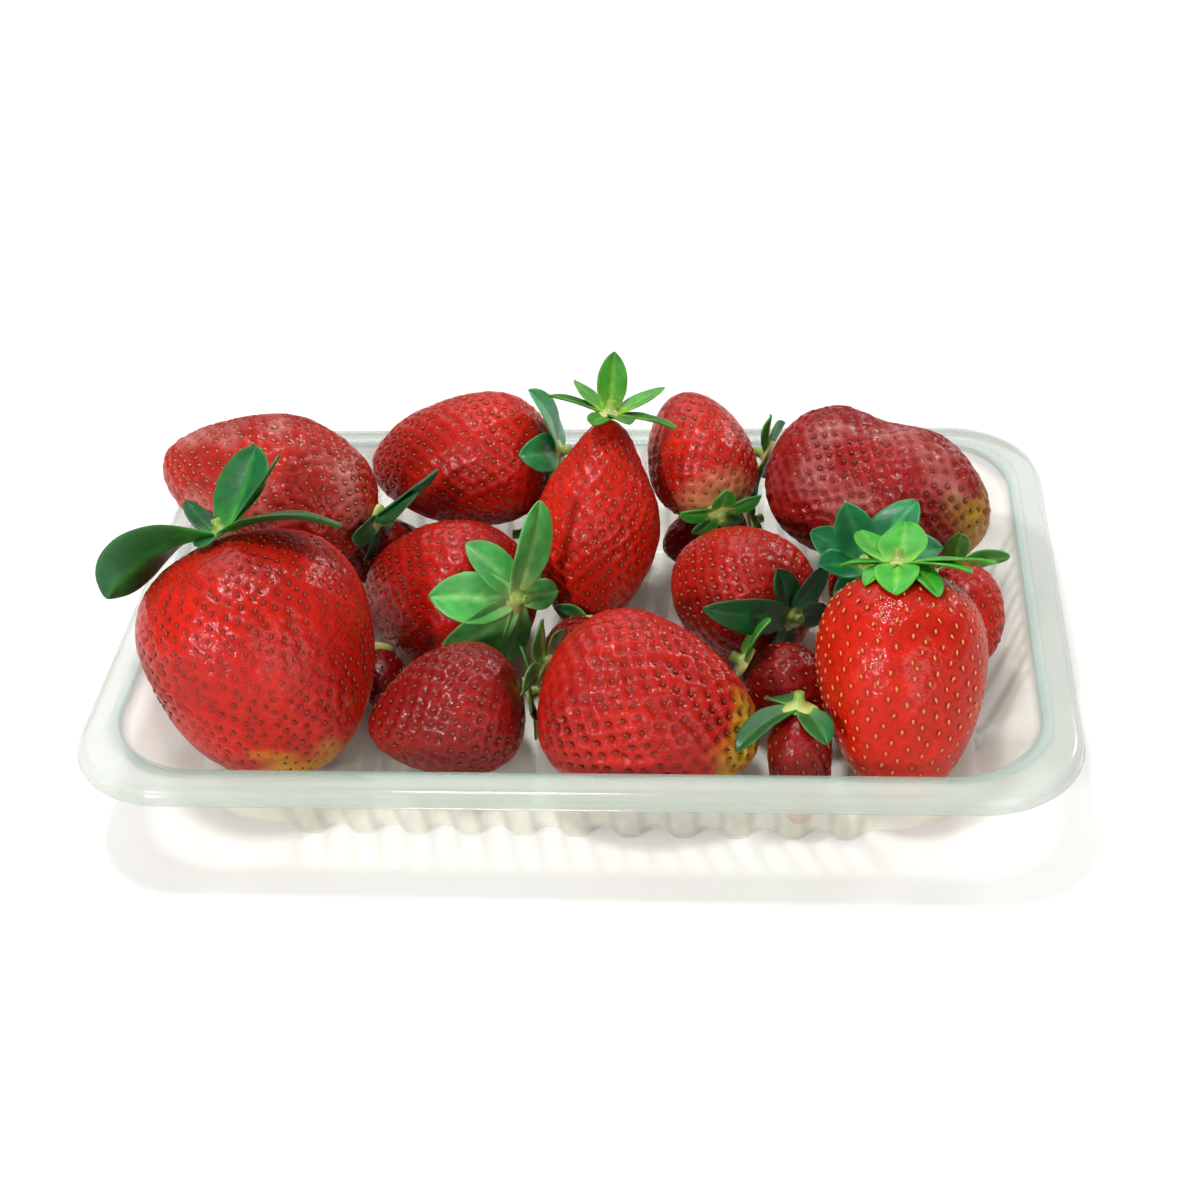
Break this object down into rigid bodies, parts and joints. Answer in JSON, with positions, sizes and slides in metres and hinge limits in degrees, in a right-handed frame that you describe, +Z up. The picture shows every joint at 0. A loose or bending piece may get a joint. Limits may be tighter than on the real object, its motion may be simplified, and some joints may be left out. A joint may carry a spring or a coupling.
{
  "type": "strawberries in a tray",
  "caption": "Ripe strawberries with green leafy caps, heaped in a shallow clear ribbed plastic tray with a flat rim.",
  "frame": {"origin": "centre of the tray's underside, on the surface that the tray stands on", "axes": "+X along the tray's length, -Y towards the long side that faces the picker, +Z up"},
  "size_m": [0.19, 0.13, 0.0613],
  "materials": {
    "tray_plastic": "clear thermoformed PET sheet, glossy",
    "berry_flesh": "ripe strawberry skin, waxy gloss, pitted with seeds",
    "calyx_leaf": "fresh green sepals, satin, veined"
  },
  "bodies": {
    "root": {"berry_back_centre": "berry_flesh", "berry_back_left": "berry_flesh", "berry_back_middle": "berry_flesh", "berry_back_right": "berry_flesh", "berry_behind_right": "berry_flesh", "berry_centre": "berry_flesh", "berry_far_right": "berry_flesh", "berry_front_left": "berry_flesh", "berry_front_low": "berry_flesh", "berry_front_middle": "berry_flesh", "berry_front_right": "berry_flesh", "berry_low_between": "berry_flesh", "berry_low_centre": "berry_flesh", "berry_low_corner": "berry_flesh", "berry_low_front": "berry_flesh", "berry_low_left": "berry_flesh", "berry_low_middle": "berry_flesh", "berry_low_right": "berry_flesh", "berry_middle_left": "berry_flesh", "berry_middle_right": "berry_flesh", "leaves_back_centre": "calyx_leaf", "leaves_back_left": "calyx_leaf", "leaves_back_middle": "calyx_leaf", "leaves_back_right": "calyx_leaf", "leaves_behind_right": "calyx_leaf", "leaves_centre": "calyx_leaf", "leaves_far_right": "calyx_leaf", "leaves_front_left": "calyx_leaf", "leaves_front_low": "calyx_leaf", "leaves_front_middle": "calyx_leaf", "leaves_front_right": "calyx_leaf", "leaves_low_between": "calyx_leaf", "leaves_low_centre": "calyx_leaf", "leaves_low_corner": "calyx_leaf", "leaves_low_front": "calyx_leaf", "leaves_low_left": "calyx_leaf", "leaves_low_middle": "calyx_leaf", "leaves_low_right": "calyx_leaf", "leaves_middle_left": "calyx_leaf", "leaves_middle_right": "calyx_leaf", "tray": "tray_plastic"}
  },
  "joints": []
}
